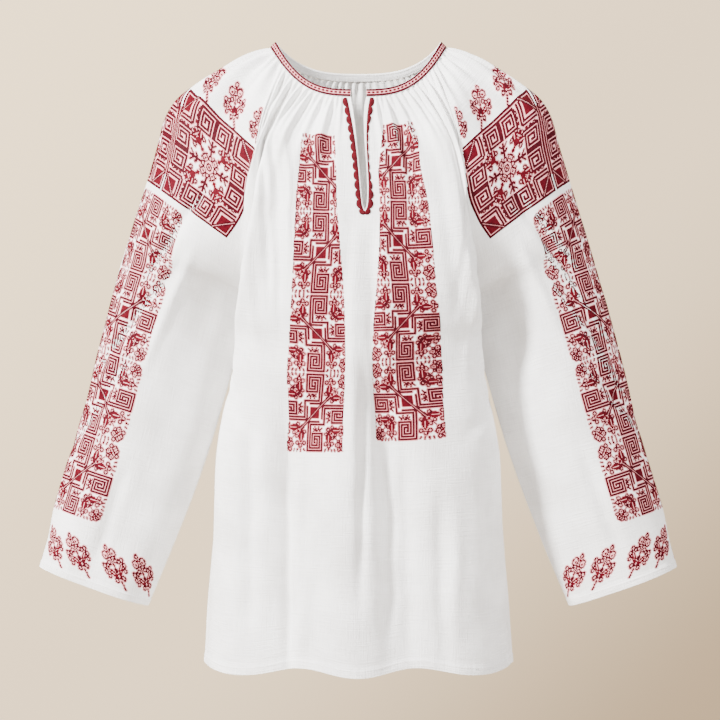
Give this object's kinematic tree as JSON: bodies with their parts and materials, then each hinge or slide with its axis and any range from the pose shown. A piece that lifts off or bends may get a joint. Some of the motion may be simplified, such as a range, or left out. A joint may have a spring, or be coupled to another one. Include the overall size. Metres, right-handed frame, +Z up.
{
  "type": "romanian ie blouse",
  "caption": "Hollow gathered peasant blouse as worn, with raglan sleeves, a slit neck with scalloped trim and open hem and cuffs.",
  "frame": {"origin": "middle of the neck ring, level with its highest points at the two sides of the neck, where the wearer's shoulders carry the blouse", "axes": "+Z up, the front faces -Y, +X is the wearer's left"},
  "size_m": [0.7224, 0.2871, 0.7108],
  "materials": {
    "white_cloth": "matt plain weave, off white",
    "band_cloth": "matt plain weave with red stitching",
    "red_trim": "satin-stitched thread"
  },
  "bodies": {
    "root": {"front": "white_cloth", "back": "white_cloth", "sleeve_left": "white_cloth", "sleeve_right": "white_cloth", "neck_band": "band_cloth", "slit_trim": "red_trim"}
  },
  "joints": []
}
